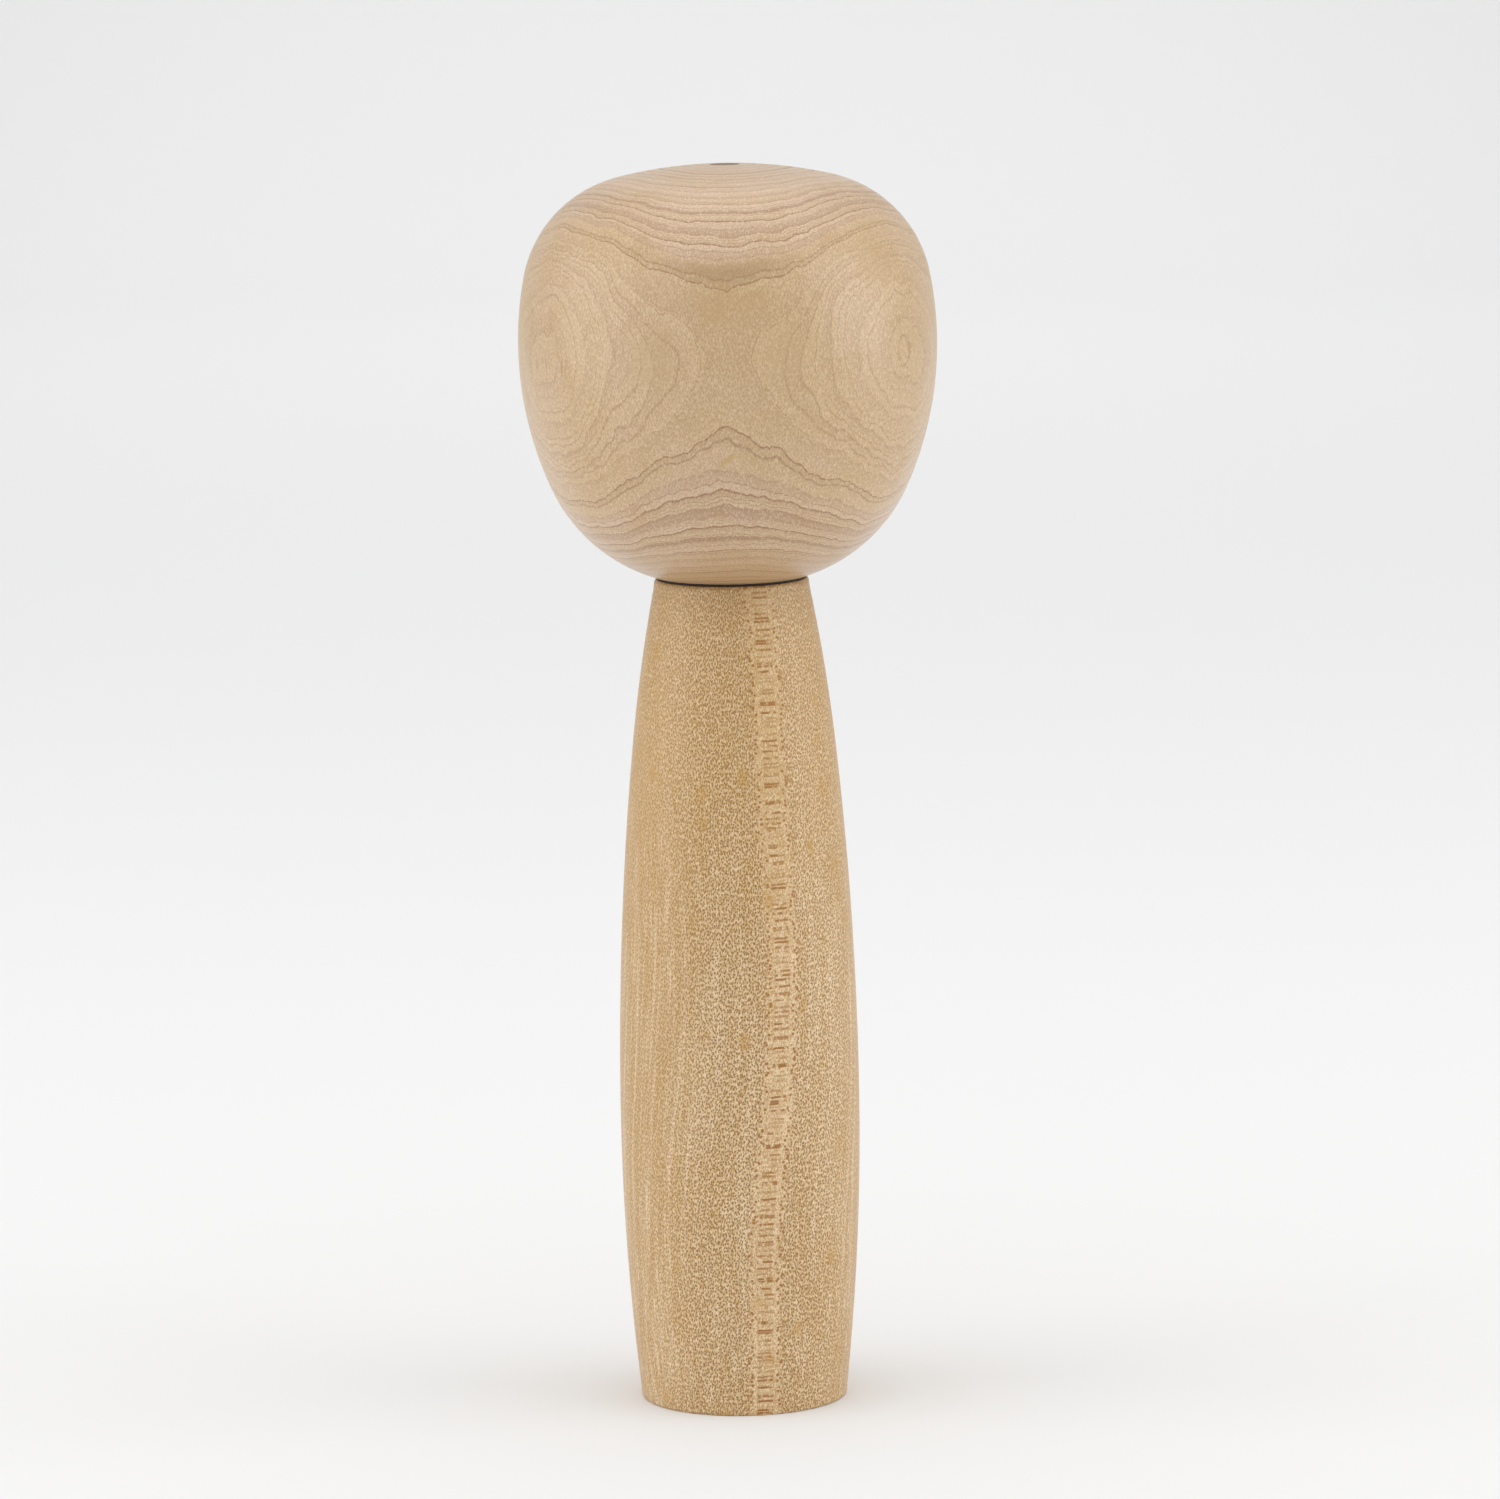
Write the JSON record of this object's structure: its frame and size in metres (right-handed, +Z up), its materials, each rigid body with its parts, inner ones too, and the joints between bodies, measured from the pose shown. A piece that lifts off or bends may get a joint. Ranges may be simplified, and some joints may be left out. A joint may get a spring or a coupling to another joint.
{
  "type": "turned wooden figure",
  "caption": "Plain turned-wood pawn figure: a round-bellied body that narrows to the neck, and a large domed head that turns on a dowel and lifts off.",
  "frame": {"origin": "middle of the base, on the surface that the figure stands on", "axes": "+Z up along the turning axis, from the base to the crown; -Y is the side that shows the quarter-sawn strip"},
  "size_m": [0.0802, 0.0802, 0.24],
  "materials": {
    "maple_body": "fine-sanded pale maple, bare or thinly waxed, quarter-sawn ray fleck",
    "maple_head": "fine-sanded pale maple, bare or thinly waxed",
    "dowel_wood": "smooth hardwood dowel",
    "plug_wood": "end-grain hardwood plug, turned flush",
    "black_fibre": "matt black pressed fibre"
  },
  "bodies": {
    "torso": {"body": "maple_body"},
    "neck": {"neck_washer": "black_fibre"},
    "head": {"head": "maple_head", "neck_dowel": "dowel_wood", "crown_plug": "plug_wood"}
  },
  "joints": [
    {"name": "head_lift", "type": "slide", "parent": "torso", "child": "neck", "axis": [0, 0, 1], "range_m": [0, 0.03]},
    {"name": "head_turn", "type": "hinge", "parent": "neck", "child": "head", "pos_m": [0, 0, 0.161], "axis": [0, 0, 1], "continuous": true}
  ]
}
